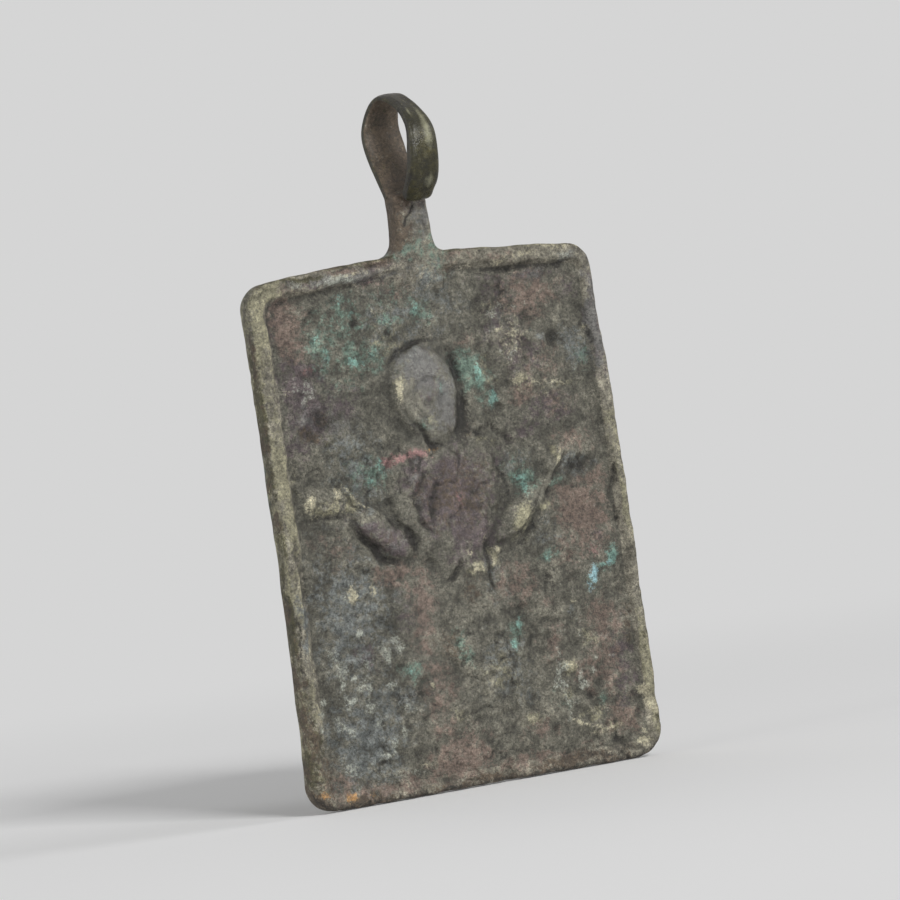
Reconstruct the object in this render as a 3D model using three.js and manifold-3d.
// Icon pendant: a small cast-bronze devotional plate with a raised border, a low-relief
// praying figure, and a tongue that carries a suspension loop.
//
// The pieces are the ones that the wax model is put together from before it is cast:
// a flat plate, border rods laid round its edge, a tongue let into its top, a strip bent
// into a loop, and the figure's veil, face, mantle, forearms, hands and robe on the field.
//
// Everything is drawn lying on its back: x runs across the plate, y up it, and z towards
// the viewer, with x = 0 on the tongue's axis, y = 0 at the plate's foot and z = 0 on the
// field. The last step stands the pendant upright and hangs it from the origin, which is
// where the cord bears on the inside of the loop. Millimetres throughout.
import * as THREE from "three";
import { mergeVertices } from "three/addons/utils/BufferGeometryUtils.js";
import Module from "manifold-3d";

const wasm = await Module();
wasm.setup();

// Plate
const plateWidth = 38.7;
const plateHeight = 51.95;
const plateThickness = 1.5;
const cornerRadiusHead = 2.5;
const cornerRadiusFoot = 3.0;
const backEdgeRounding = 0.4;
const topArch = 1.2; // the top edge rises this much in the middle
const leftHollow = 0.4; // the left edge draws in this much at mid height
const rightSwell = 0.3; // the right edge swells out this much at mid height
const footSpreadLeft = 0.4; // the left edge stands this much further out at the foot
const footSpreadRight = 0.55; // and the right edge this much

// Raised border
const borderHeight = 0.7;
const borderWidthLeft = 1.95;
const borderWidthRight = 1.3;
const borderWidthTop = 1.95;
const borderWidthBottom = 1.5;
const borderRounding = 0.35; // along its outer edge
const borderSlope = 0.45; // width of its sloping inner face
const borderJoint = 0.9; // the side rods end this far past their own inner edge

// Tongue between plate and loop
const tongueRootWidth = 6.2;
const tongueWaistWidth = 4.0;
const tongueHeadWidth = 3.75;
const tongueHeight = 5.55; // from the plate's top edge to its own flat top
const tongueFlare = 2.2; // height over which the root narrows to the waist
const tongueLap = 0.35; // how far its root comes down over the field, past the border

// Suspension loop: a strip that rises from the tongue's back, bends over forwards and comes
// down until its tip almost touches the tongue's front
const loopDepth = 10.2; // from back to front over the strip's outer face
const loopHeight = 10.5; // above the tongue's top
const loopForward = 0.1; // its middle stands this far in front of the field
const stripThickness = 1.35;
const stripWidth = 3.6;
const stripEdgeRounding = 0.42;
const stripTipRounding = 0.9; // length over which its tip is rounded off

// Stations along the strip's middle line: how far forward they stand and how high, as
// shares of the loop's half depth and height, then the strip's width there and how far it
// stands to the right, as shares of its full width. The cord has worn it narrow at its top.
const stripStations = [
  [-0.2, 0, 1.03, 0],
  [-0.458, 0.194, 1.08, 0.03],
  [-0.853, 0.469, 1.18, 0.08],
  [-1, 0.704, 1.14, 0.11],
  [-0.774, 0.913, 0.76, 0.055],
  [-0.243, 1, 0.6, 0.015],
  [0.458, 0.867, 0.66, 0.04],
  [0.932, 0.653, 0.79, 0.1],
  [1, 0.408, 0.8, 0.1],
  [0.853, 0.173, 0.8, 0.1],
  [0.503, 0.026, 0.76, 0.1],
];

// Figure on the field
const figureOffset = -1.0; // the head stands this far to the left of the tongue's axis
const crownDrop = 5.8; // from the border's inner edge down to the crown
const veilWidth = 8.0;
const veilHeight = 10.3;
const veilRelief = 1.25;
const faceWidth = 4.4;
const faceHeight = 5.8;
const faceDrop = 0.7; // the face sits this far below the veil's middle
const faceRelief = 0.95;
const mantleWidth = 12.2;
const mantleHeight = 14.4;
const mantleRelief = 0.85;
const collarLap = 1.6; // the mantle reaches this far above the veil's lower edge
const elbowRise = 3.6; // elbows above the mantle's point
const elbowReach = 5.0; // elbows out from the mantle's middle
const wristRise = 4.9; // wrists above elbows
const forearmWidth = 2.8;
const forearmRelief = 1.0;
const handLength = 4.6;
const handWidth = 2.7;
const handRelief = 0.6;
const handLift = 26; // degrees by which the open hands slope upwards and outwards
const handInset = 1.6; // fingertips to the border's inner edge
const robeWidth = 12.5;
const robeHemWidth = 15.0;
const robeLap = 3.4; // the robe begins this far above the mantle's point
const robeRelief = 0.45;
const robeFolds = 4;
const robeFoldDepth = 0.16;
const hemGap = 0.6; // hem to the border's inner edge

const reliefGap = 0.3; // groove between neighbouring pieces of the relief

const bronze = (colour, roughness, metalness) =>
  new THREE.MeshStandardMaterial({ color: colour, roughness, metalness });
const fieldBronze = bronze(0x5f5a52, 0.75, 0.35);
const borderBronze = bronze(0x7d7660, 0.7, 0.35);
const loopBronze = bronze(0x4a4636, 0.5, 0.5);
const reliefBronze = bronze(0x5b5253, 0.65, 0.4);

// A closed solid for cutting and joining, from a geometry.
function solidOf(geometry) {
  const bare = geometry.clone();
  bare.deleteAttribute("normal");
  bare.deleteAttribute("uv");
  const merged = mergeVertices(bare, 1e-4);
  return new wasm.Manifold(
    new wasm.Mesh({
      numProp: 3,
      vertProperties: merged.attributes.position.array,
      triVerts: new Uint32Array(merged.index.array),
    }),
  );
}

// A geometry back from a solid.
function geometryOf(solid) {
  const mesh = solid.getMesh();
  const geometry = new THREE.BufferGeometry();
  geometry.setAttribute("position", new THREE.BufferAttribute(mesh.vertProperties, 3));
  geometry.setIndex(new THREE.BufferAttribute(mesh.triVerts, 1));
  geometry.computeVertexNormals();
  return geometry;
}

// A geometry from loops of Vector3 of equal length, joined in turn by bands of triangles.
// An open run gets a fan at each end; a ring joins its last loop to its first.
function loft(loops, { ring = false } = {}) {
  const count = loops[0].length;
  const positions = loops.flatMap((loop) => loop.flatMap((p) => [p.x, p.y, p.z]));
  const index = [];
  const bands = ring ? loops.length : loops.length - 1;
  for (let level = 0; level < bands; level += 1) {
    const above = (level + 1) % loops.length;
    for (let i = 0; i < count; i += 1) {
      const next = (i + 1) % count;
      const [a, b] = [level * count + i, level * count + next];
      const [c, d] = [above * count + next, above * count + i];
      index.push(a, b, c, a, c, d);
    }
  }
  const addFan = (level, turned) => {
    const centre = positions.length / 3;
    const middle = middleOf(loops[level]);
    positions.push(middle.x, middle.y, middle.z);
    for (let i = 0; i < count; i += 1) {
      const a = level * count + i;
      const b = level * count + ((i + 1) % count);
      index.push(centre, turned ? b : a, turned ? a : b);
    }
  };
  if (!ring) {
    addFan(0, true);
    addFan(loops.length - 1, false);
  }
  const geometry = new THREE.BufferGeometry();
  geometry.setAttribute("position", new THREE.Float32BufferAttribute(positions, 3));
  geometry.setIndex(index);
  geometry.computeVertexNormals();
  return geometry;
}

function middleOf(points) {
  const sum = new THREE.Vector3();
  for (const p of points) sum.add(new THREE.Vector3(p.x, p.y, p.z ?? 0));
  return sum.divideScalar(points.length);
}

// Outlines are lists of Vector2 that run anticlockwise seen from the front.
const lifted = (outline, z) => outline.map((p) => new THREE.Vector3(p.x, p.y, z));

const prism = (outline, low, high) => loft([lifted(outline, low), lifted(outline, high)]);

function rectangle(left, bottom, right, top) {
  const corners = [[left, bottom], [right, bottom], [right, top], [left, top]];
  return corners.map(([x, y]) => new THREE.Vector2(x, y));
}

// A smooth closed outline through a few points.
function smoothOutline(points, samples = 36) {
  const curve = new THREE.CatmullRomCurve3(
    points.map(([x, y]) => new THREE.Vector3(x, y, 0)),
    true,
    "centripetal",
  );
  const sampled = curve.getSpacedPoints(samples).slice(0, samples);
  return sampled.map((p) => new THREE.Vector2(p.x, p.y));
}

// An egg with its narrow end down.
function egg(x, y, width, height, samples = 36) {
  const narrowing = 0.14;
  return Array.from({ length: samples }, (_, i) => {
    const turn = (2 * Math.PI * i) / samples;
    const half = (width / 2) * (1 + narrowing * Math.sin(turn));
    return new THREE.Vector2(x + half * Math.cos(turn), y + (height / 2) * Math.sin(turn));
  });
}

// An outline moved outwards by a distance, point by point.
function grown(outline, distance) {
  const count = outline.length;
  return outline.map((p, i) => {
    const before = outline[(i + count - 1) % count];
    const after = outline[(i + 1) % count];
    const along = after.clone().sub(before).normalize();
    return new THREE.Vector2(p.x + along.y * distance, p.y - along.x * distance);
  });
}

// A piece of low relief on the field: steep at its outline, then rounded over to its
// height. modelling(x, y) is added to its inner surface. The prisms over the neighbours
// that lie on top of it are cut away, with the relief's groove round them.
function relief(outline, height, { under = [], modelling = () => 0, levels = 6 } = {}) {
  const middle = middleOf(outline);
  const smallest = 0.15;
  const fullness = 0.88; // how far round the quarter circle the section goes
  const loops = Array.from({ length: levels }, (_, level) => {
    const share = 1 - (1 - smallest) * (level / (levels - 1)) ** 1.4;
    const rise = level === 0 ? 0 : Math.sqrt(1 - (fullness * share) ** 2);
    const inner = Math.min(1, (1 - share) * 3);
    return outline.map((p) => {
      const x = middle.x + share * (p.x - middle.x);
      const y = middle.y + share * (p.y - middle.y);
      return new THREE.Vector3(x, y, height * rise + inner * modelling(x, y));
    });
  });
  let solid = solidOf(loft(loops));
  for (const above of under) {
    solid = solid.subtract(solidOf(prism(grown(above, reliefGap), -1, height + 1)));
  }
  return geometryOf(solid);
}

// Where a point of a straight-sided plate lies on this hand-made, slightly uneven one.
function outOfTrue(x, y) {
  const across = x / (plateWidth / 2);
  const up = y / plateHeight;
  const midHeight = 1 - (2 * up - 1) ** 2;
  const bow = (x < 0 ? leftHollow : rightSwell) * midHeight * Math.abs(across);
  const spread = (x < 0 ? footSpreadLeft : footSpreadRight) * (1 - up) * across;
  const arch = topArch * (1 - across ** 2) * up;
  return new THREE.Vector2(x + bow + spread, y + arch);
}

// The plate's edge, drawn in by an inset on each side.
function plateEdge(left = 0, right = left, top = left, bottom = left) {
  const drawnIn = (left + right + top + bottom) / 4;
  const tightest = 0.3; // share of a corner's radius that is left at the border's inner edge
  const head = Math.max(tightest * cornerRadiusHead, cornerRadiusHead - drawnIn);
  const foot = Math.max(tightest * cornerRadiusFoot, cornerRadiusFoot - drawnIn);
  const low = { x: -plateWidth / 2 + left, y: bottom };
  const high = { x: plateWidth / 2 - right, y: plateHeight - top };
  const corners = [
    [high.x - foot, low.y + foot, foot, -Math.PI / 2],
    [high.x - head, high.y - head, head, 0],
    [low.x + head, high.y - head, head, Math.PI / 2],
    [low.x + foot, low.y + foot, foot, Math.PI],
  ];
  const cornerSteps = 5;
  const sideSteps = 6;
  const onCorner = ([x, y, radius, start], step) => {
    const turn = start + (Math.PI / 2) * (step / cornerSteps);
    return new THREE.Vector2(x + radius * Math.cos(turn), y + radius * Math.sin(turn));
  };
  const straight = corners.flatMap((corner, n) => {
    const round = Array.from({ length: cornerSteps + 1 }, (_, step) => onCorner(corner, step));
    const next = onCorner(corners[(n + 1) % 4], 0);
    const side = Array.from({ length: sideSteps - 1 }, (_, step) =>
      round[cornerSteps].clone().lerp(next, (step + 1) / sideSteps),
    );
    return [...round, ...side];
  });
  return straight.map((p) => outOfTrue(p.x, p.y));
}

// Lines that several pieces share
const innerLeft = -plateWidth / 2 + borderWidthLeft;
const innerRight = plateWidth / 2 - borderWidthRight;
const innerTop = plateHeight - borderWidthTop;
const innerBottom = borderWidthBottom;
const jointLeft = innerLeft + borderJoint;
const jointRight = innerRight - borderJoint;
const topEdge = plateHeight + topArch;
const rootHalf = tongueRootWidth / 2;
const notchFoot = innerTop - tongueLap;
const beyond = plateWidth + plateHeight; // clear of the whole plate

// The stretch of the plate that the tongue's root takes up.
const notch = () =>
  solidOf(prism(rectangle(-rootHalf, notchFoot, rootHalf, beyond), -beyond, beyond));

function plateGeometry() {
  const rounding = (share) => plateEdge(share * backEdgeRounding);
  const loops = [
    lifted(rounding(1), -plateThickness),
    lifted(rounding(0.3), -plateThickness + 0.3 * backEdgeRounding),
    lifted(rounding(0), -plateThickness + backEdgeRounding),
    lifted(rounding(0), 0),
  ];
  return geometryOf(solidOf(loft(loops)).subtract(notch()));
}

// One border rod: the part of the whole raised ring inside a rectangle.
function borderRod(left, bottom, right, top) {
  const inset = (change) =>
    plateEdge(
      borderWidthLeft - change,
      borderWidthRight - change,
      borderWidthTop - change,
      borderWidthBottom - change,
    );
  const loops = [
    lifted(plateEdge(), 0),
    lifted(plateEdge(0.3 * borderRounding), 0.7 * borderHeight),
    lifted(plateEdge(borderRounding), borderHeight),
    lifted(inset(borderSlope), borderHeight),
    lifted(inset(0), 0),
  ];
  const ring = solidOf(loft(loops, { ring: true }));
  return geometryOf(ring.intersect(solidOf(prism(rectangle(left, bottom, right, top), -1, beyond))));
}

const tongueTop = topEdge + tongueHeight;

function tongueGeometry() {
  const waistHalf = tongueWaistWidth / 2;
  const headHalf = tongueHeadWidth / 2;
  const shoulder = outOfTrue(rootHalf, plateHeight).y;
  const waist = shoulder + tongueFlare;
  const front = new THREE.Shape();
  front.moveTo(-rootHalf, notchFoot);
  front.lineTo(rootHalf, notchFoot);
  front.lineTo(rootHalf, shoulder);
  front.quadraticCurveTo(waistHalf, shoulder, waistHalf, waist);
  front.lineTo(headHalf, tongueTop);
  front.lineTo(-headHalf, tongueTop);
  front.lineTo(-waistHalf, waist);
  front.quadraticCurveTo(-waistHalf, shoulder, -rootHalf, shoulder);
  front.closePath();
  const geometry = new THREE.ExtrudeGeometry(front, {
    depth: plateThickness + borderHeight,
    bevelEnabled: false,
    curveSegments: 8,
  });
  return geometry.translate(0, 0, -plateThickness);
}

// The strip's cross-section at a point of its middle line: across it runs with x, and
// through its thickness along the outward direction.
function stripSection(middle, outward, width, thickness) {
  const cornerSteps = 3;
  const rounding = Math.min(stripEdgeRounding, 0.45 * thickness, 0.45 * width);
  const corners = [[1, 1], [-1, 1], [-1, -1], [1, -1]];
  return corners.flatMap(([right, out], n) =>
    Array.from({ length: cornerSteps + 1 }, (_, step) => {
      const turn = (Math.PI / 2) * (n + step / cornerSteps);
      const across = right * (width / 2 - rounding) + rounding * Math.cos(turn);
      const through = out * (thickness / 2 - rounding) + rounding * Math.sin(turn);
      return middle.clone().addScaledVector(outward, through).setX(middle.x + across);
    }),
  );
}

const stripLine = new THREE.CatmullRomCurve3(
  stripStations.map(([forward, up, , aside]) => {
    const z = loopForward + (forward * (loopDepth - stripThickness)) / 2;
    const y = tongueTop + up * (loopHeight - stripThickness / 2);
    return new THREE.Vector3(aside * stripWidth, y, z);
  }),
);

// The way out of the loop at a share of its line: square to the line, in the plane that
// halves the pendant.
function stripOutward(share) {
  const along = stripLine.getTangent(share);
  return new THREE.Vector3(0, along.z, -along.y).normalize();
}

function stripWidthAt(share) {
  const place = share * (stripStations.length - 1);
  const before = Math.min(Math.floor(place), stripStations.length - 2);
  const [from, to] = [stripStations[before][2], stripStations[before + 1][2]];
  return stripWidth * (from + (to - from) * THREE.MathUtils.smoothstep(place - before, 0, 1));
}

function loopGeometry() {
  const steps = 50;
  const tipSteps = 5;
  const sections = Array.from({ length: steps + 1 }, (_, i) => {
    const share = i / steps;
    const middle = stripLine.getPoint(share);
    return stripSection(middle, stripOutward(share), stripWidthAt(share), stripThickness);
  });
  for (const point of sections[0]) point.y = tongueTop;
  const end = stripLine.getPoint(1);
  const along = stripLine.getTangent(1);
  for (let step = 1; step <= tipSteps; step += 1) {
    const turn = (0.46 * Math.PI * step) / tipSteps;
    const middle = end.clone().addScaledVector(along, stripTipRounding * Math.sin(turn));
    const width = stripWidthAt(1) - 2 * stripTipRounding * (1 - Math.cos(turn));
    const thickness = stripThickness * Math.cos(turn);
    sections.push(stripSection(middle, stripOutward(1), width, thickness));
  }
  return loft(sections);
}

// Where the cord bears: the highest point of the strip's inner face.
function cordBearing() {
  const samples = 400;
  const inside = Array.from({ length: samples + 1 }, (_, i) => {
    const outward = stripOutward(i / samples);
    return stripLine.getPoint(i / samples).addScaledVector(outward, -stripThickness / 2);
  });
  return inside.reduce((high, point) => (point.y > high.y ? point : high));
}

// Places of the figure, worked out from the field that it fills
const crown = innerTop - crownDrop;
const headMiddle = new THREE.Vector2(figureOffset, crown - veilHeight / 2);
const mantleTop = crown - veilHeight + collarLap;
const mantlePoint = mantleTop - mantleHeight;
const elbowHeight = mantlePoint + elbowRise;
const wristHeight = elbowHeight + wristRise;

const veilOutline = egg(headMiddle.x, headMiddle.y, veilWidth, veilHeight);
const faceOutline = egg(headMiddle.x, headMiddle.y - faceDrop, faceWidth, faceHeight, 28);

// Sloping shoulders above, and a point of hanging cloth below.
const mantleOutline = smoothOutline(
  [
    [-0.08, 0],
    [-0.4, 0.12],
    [-0.5, 0.34],
    [-0.47, 0.6],
    [-0.26, 0.86],
    [0, 1],
    [0.24, 0.86],
    [0.45, 0.6],
    [0.5, 0.34],
    [0.4, 0.12],
    [0.08, 0],
  ].map(([across, down]) => [
    across * mantleWidth + figureOffset * (1 - down),
    mantleTop - down * mantleHeight,
  ]),
  44,
);

// A limb's outline: a rod with round ends from one point to another.
function limb(from, to, width, samples = 8) {
  const along = to.clone().sub(from);
  const heading = along.angle();
  const cap = (centre, start) =>
    Array.from({ length: samples }, (_, i) => {
      const turn = start + (Math.PI * i) / (samples - 1);
      const reach = new THREE.Vector2(Math.cos(turn), Math.sin(turn));
      return reach.multiplyScalar(width / 2).add(centre);
    });
  return [...cap(to, heading - Math.PI / 2), ...cap(from, heading + Math.PI / 2)];
}

// An open hand seen from its palm, from the wrist towards the fingertips.
function hand(wrist, tip) {
  const along = tip.clone().sub(wrist);
  const upwards = new THREE.Vector2(-along.y, along.x).normalize();
  if (upwards.y < 0) upwards.negate();
  const at = (share, rise) =>
    wrist.clone().addScaledVector(along, share).addScaledVector(upwards, rise * handWidth);
  const palm = [at(0, 0.35), at(0, -0.35), at(0.45, -0.5), at(0.9, -0.28), at(1, 0.05)];
  const thumb = [at(0.75, 0.4), at(0.45, 0.42), at(0.28, 0.62)];
  const points = [...palm, ...thumb].map((p) => [p.x, p.y]);
  const turnsClockwise = along.x < 0;
  return smoothOutline(turnsClockwise ? points.reverse() : points, 28);
}

// The arm on one side, which is -1 on the viewer's left and 1 on the right.
function armOutlines(side) {
  const elbow = new THREE.Vector2(side * elbowReach + figureOffset / 2, elbowHeight);
  const inner = side < 0 ? innerLeft : innerRight;
  const lift = THREE.MathUtils.degToRad(handLift);
  const reach = new THREE.Vector2(side * Math.cos(lift), Math.sin(lift));
  const wrist = new THREE.Vector2(inner - side * handInset - reach.x * handLength, wristHeight);
  const tip = wrist.clone().addScaledVector(reach, handLength);
  const along = wrist.clone().sub(elbow).setLength(forearmWidth / 2 + reliefGap);
  const forearm = limb(elbow, wrist.clone().sub(along), forearmWidth);
  return { forearm, hand: hand(wrist, tip) };
}

const leftArm = armOutlines(-1);
const rightArm = armOutlines(1);

const robeOutline = smoothOutline(
  [
    [-robeWidth / 2, mantlePoint + robeLap],
    [-robeWidth / 2 - 0.25 * (robeHemWidth - robeWidth), (mantlePoint + innerBottom) / 2],
    [-robeHemWidth / 2, innerBottom + hemGap + 1],
    [-robeHemWidth / 2 + 1, innerBottom + hemGap],
    [0, innerBottom + hemGap],
    [robeHemWidth / 2 - 1, innerBottom + hemGap],
    [robeHemWidth / 2, innerBottom + hemGap + 1],
    [robeWidth / 2 + 0.25 * (robeHemWidth - robeWidth), (mantlePoint + innerBottom) / 2],
    [robeWidth / 2, mantlePoint + robeLap],
    [0, mantlePoint + robeLap + 1],
  ].map(([x, y]) => [x + figureOffset, y]),
  48,
);

const robeFold = (x) => {
  const turns = (robeFolds * (x - figureOffset)) / robeWidth;
  return (-robeFoldDepth * (1 - Math.cos(2 * Math.PI * turns))) / 2;
};

const pendant = new THREE.Group();

// Each sub-part is stood upright with whole-number turns, so that flat faces stay flat.
const upright = new THREE.Matrix4().set(1, 0, 0, 0, 0, 0, -1, 0, 0, 1, 0, 0, 0, 0, 0, 1);
function add(name, geometry, material) {
  const mesh = new THREE.Mesh(geometry.applyMatrix4(upright), material);
  mesh.name = name;
  pendant.add(mesh);
}

add("backing_plate", plateGeometry(), fieldBronze);
add("border_left", borderRod(-beyond, -beyond, jointLeft, beyond), borderBronze);
add("border_right", borderRod(jointRight, -beyond, beyond, beyond), borderBronze);
add("border_bottom", borderRod(jointLeft, -beyond, jointRight, plateHeight / 2), borderBronze);
add("border_top_left", borderRod(jointLeft, plateHeight / 2, -rootHalf, beyond), borderBronze);
add("border_top_right", borderRod(rootHalf, plateHeight / 2, jointRight, beyond), borderBronze);
add("tongue", tongueGeometry(), borderBronze);
add("suspension_loop", loopGeometry(), loopBronze);
add("veil", relief(veilOutline, veilRelief, { under: [faceOutline] }), reliefBronze);
add("face", relief(faceOutline, faceRelief), reliefBronze);
add("mantle", relief(mantleOutline, mantleRelief, { under: [veilOutline] }), reliefBronze);
for (const [side, arm] of [["left", leftArm], ["right", rightArm]]) {
  const forearm = relief(arm.forearm, forearmRelief, { under: [mantleOutline] });
  add(`forearm_${side}`, forearm, reliefBronze);
  const open = relief(arm.hand, handRelief, { under: [arm.forearm] });
  add(`hand_${side}`, open, reliefBronze);
}
add(
  "robe",
  relief(robeOutline, robeRelief, {
    under: [mantleOutline, leftArm.forearm, rightArm.forearm],
    modelling: robeFold,
    levels: 8,
  }),
  reliefBronze,
);

const bearing = cordBearing();
pendant.position.set(0, bearing.z, -bearing.y);

export default pendant;
